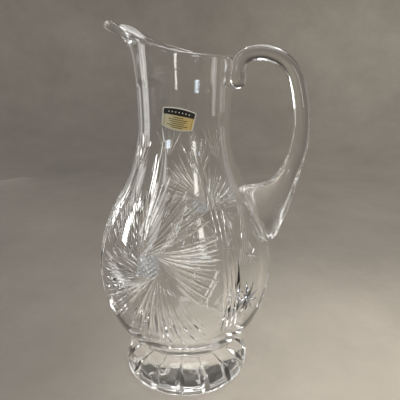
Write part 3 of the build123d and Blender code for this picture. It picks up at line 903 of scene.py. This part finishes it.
# floor, backdrop and light; these sizes are in metres, and levels run from the floor up
studio = {
    # painted light: a paler round patch of floor colour beside the pitcher stands in for a pool of lamplight
    "floorColor": (0.37, 0.335, 0.292, 1), "paintedLightPoolColor": (0.76, 0.69, 0.585, 1), "paintedLightPoolPlace": (0.24, -0.04, 0),
    "paintedLightPoolFrom": 0.02, "paintedLightPoolTo": 0.38,
    "wallColor": (0.50, 0.455, 0.39, 1), "wallFrom": 0.0, "wallTo": 0.40,
    "topColor": (0.12, 0.11, 0.10, 1), "topFrom": 0.52, "topTo": 1.0,
    # painted shade: the ground colour is multiplied darker towards -X, standing in for the shade on that side
    "paintedShadeColor": (0.70, 0.71, 0.73, 1), "paintedShadeFrom": -0.45, "paintedShadeTo": 0.25,
    "mottle": 0.45, "mottleScale": 7.0, "mottleDetail": 8.0, "mottleRoughness": 0.72,
    "roughness": 0.9, "specular": 0.1,
    "drop": 0.0003, "flat": 0.75, "bend": 0.55, "wall": 1.9, "flatRows": 20, "bendRows": 23, "columns": 96,
    "worldColor": (0.30, 0.29, 0.28, 1), "lampTarget": (0, 0, 0.13),
    # each lamp: place, width and height, watts, colour
    "lamps": {
        "windowLeft": ((-0.97, -0.02, 0.40), (0.20, 0.90), 1.7, (1.0, 0.985, 0.955)),
        "windowBehind": ((-0.56, 0.40, 0.30), (0.16, 0.62), 0.12, (1.0, 0.99, 0.97)),
        "windowFront": ((-0.85, -0.75, 0.80), (0.12, 0.80), 2.3, (1.0, 0.985, 0.96)),
        "windowRight": ((0.75, -0.85, 0.50), (0.14, 0.70), 2.2, (1.0, 0.98, 0.94)),
        "edgeRight": ((0.75, 0.60, 0.40), (0.15, 0.60), 0.2, (0.93, 0.97, 1.0)),
        "sky": ((-0.45, -1.11, 0.24), (0.25, 0.16), 1.0, (0.75, 0.86, 1.0)),
        "ceiling": ((0.10, 0.15, 1.60), (1.3, 1.0), 19.0, (1.0, 0.99, 0.975)),
    },
    # clear crystal sends light through many walls and back inside them, so paths may be long
    "bounces": 40, "reflections": 32, "wallsCrossed": 40, "wallsInShadow": 32,
}


def floorMaterial():
    # pale ground with a faint mottle, a painted pool of light beside the pitcher, painted shade towards one end,
    # darker above the view
    material = bpy.data.materials.new("paleCloth")
    material.use_nodes = True
    nodes, link = material.node_tree.nodes, material.node_tree.links.new
    _, blend = calculator(nodes, link)
    shader = nodes["Principled BSDF"]
    shader.inputs["Roughness"].default_value = studio["roughness"]
    shader.inputs["Specular IOR Level"].default_value = studio["specular"]
    place = nodes.new("ShaderNodeTexCoord")
    noise = nodes.new("ShaderNodeTexNoise")
    noise.inputs["Scale"].default_value = studio["mottleScale"]
    noise.inputs["Detail"].default_value = studio["mottleDetail"]
    noise.inputs["Roughness"].default_value = studio["mottleRoughness"]
    height = nodes.new("ShaderNodeSeparateXYZ")
    away = nodes.new("ShaderNodeVectorMath")
    away.operation = "DISTANCE"
    away.inputs[1].default_value = studio["paintedLightPoolPlace"]
    for socket in (noise.inputs["Vector"], height.inputs["Vector"], away.inputs[0]):
        link(place.outputs["Object"], socket)

    def share(value, start, end):
        # goes softly from 0 to 1 while the value goes from start to end
        node = nodes.new("ShaderNodeMapRange")
        node.interpolation_type = "SMOOTHSTEP"
        node.inputs["From Min"].default_value = min(start, end)
        node.inputs["From Max"].default_value = max(start, end)
        node.inputs["To Min"].default_value = 0.0 if end > start else 1.0
        node.inputs["To Max"].default_value = 1.0 if end > start else 0.0
        link(value, node.inputs["Value"])
        return node.outputs["Result"]

    # mask of the painted pool of light beside the pitcher
    inPaintedLightPool = share(away.outputs["Value"], studio["paintedLightPoolTo"], studio["paintedLightPoolFrom"])
    upWall = share(height.outputs["Z"], studio["wallFrom"], studio["wallTo"])
    # mask of the painted shade towards -X
    inPaintedShade = share(height.outputs["X"], studio["paintedShadeTo"], studio["paintedShadeFrom"])
    atTop = share(height.outputs["Z"], studio["topFrom"], studio["topTo"])
    color = blend(inPaintedLightPool, studio["floorColor"], studio["paintedLightPoolColor"])
    color = blend(upWall, color, studio["wallColor"])
    color = blend(inPaintedShade, color, studio["paintedShadeColor"], "MULTIPLY")
    color = blend(atTop, color, studio["topColor"])
    link(blend(studio["mottle"], color, noise.outputs["Fac"], "MULTIPLY"), shader.inputs["Base Color"])
    return material


def coveGrid():
    # round floor that bends up into a wall on every side, so that each view has the same plain ground
    flat, bend = studio["flat"], studio["bend"]
    floorLine = np.linspace(0, flat, studio["flatRows"])
    sweep = np.linspace(-math.pi / 2, 0, studio["bendRows"] + 1)[1:]
    r = np.concatenate([floorLine, flat + bend * np.cos(sweep), [flat + bend]])[:, None]
    z = np.concatenate([0 * floorLine, bend + bend * np.sin(sweep), [studio["wall"]]])[:, None]
    turn = np.linspace(0, 2 * math.pi, studio["columns"], endpoint=False)
    points = np.stack([r * np.cos(turn), r * np.sin(turn), z - studio["drop"] + 0 * turn], axis=-1) / mm
    return points.reshape(-1, 3), [ringFaces(len(r), len(turn))[:, ::-1]]


points, faces = coveGrid()
floor = makePiece("floor", points, faces, [floorMaterial()])

for name, (place, size, power, color) in studio["lamps"].items():
    data = bpy.data.lights.new(name, "AREA")
    data.shape = "RECTANGLE"
    data.size, data.size_y = size
    data.energy = power
    data.color = color
    lamp = bpy.data.objects.new(name, data)
    lamp.location = place
    lamp.visible_camera = False
    lamp.rotation_euler = (Vector(studio["lampTarget"]) - Vector(place)).to_track_quat("-Z", "Y").to_euler()
    bpy.context.scene.collection.objects.link(lamp)

world = bpy.data.worlds.new("room")
world.use_nodes = True
world.node_tree.nodes["Background"].inputs["Color"].default_value = studio["worldColor"]
world.node_tree.nodes["Background"].inputs["Strength"].default_value = 1.0
bpy.context.scene.world = world
bpy.context.scene.view_settings.view_transform = "Standard"
lightPaths = bpy.context.scene.cycles
lightPaths.max_bounces = studio["bounces"]
lightPaths.glossy_bounces = studio["reflections"]
lightPaths.transmission_bounces = studio["wallsCrossed"]
lightPaths.transparent_max_bounces = studio["wallsInShadow"]
print("studio:", len(studio["lamps"]), "lamps")


# place in metres; yaw is counted from +Y towards +X, pitch downwards, both in degrees
camera = {
    "location": (0.0940, -0.2894, 0.2402), "yaw": -15.77, "pitch": 17.50,
    "lens": 36.06, "sensor": 36.0, "near": 0.01, "far": 20.0,
}
cameraData = bpy.data.cameras.new("camera")
cameraData.lens = camera["lens"]
cameraData.sensor_width = camera["sensor"]
cameraData.clip_start = camera["near"]
cameraData.clip_end = camera["far"]
cameraObject = bpy.data.objects.new("camera", cameraData)
cameraObject.location = camera["location"]
yaw, pitch = math.radians(camera["yaw"]), math.radians(camera["pitch"])
forward = Vector((math.sin(yaw) * math.cos(pitch), math.cos(yaw) * math.cos(pitch), -math.sin(pitch)))
cameraObject.rotation_euler = forward.to_track_quat("-Z", "Y").to_euler()
bpy.context.scene.collection.objects.link(cameraObject)
bpy.context.scene.camera = cameraObject
print("camera set")

bpy.context.view_layer.update()
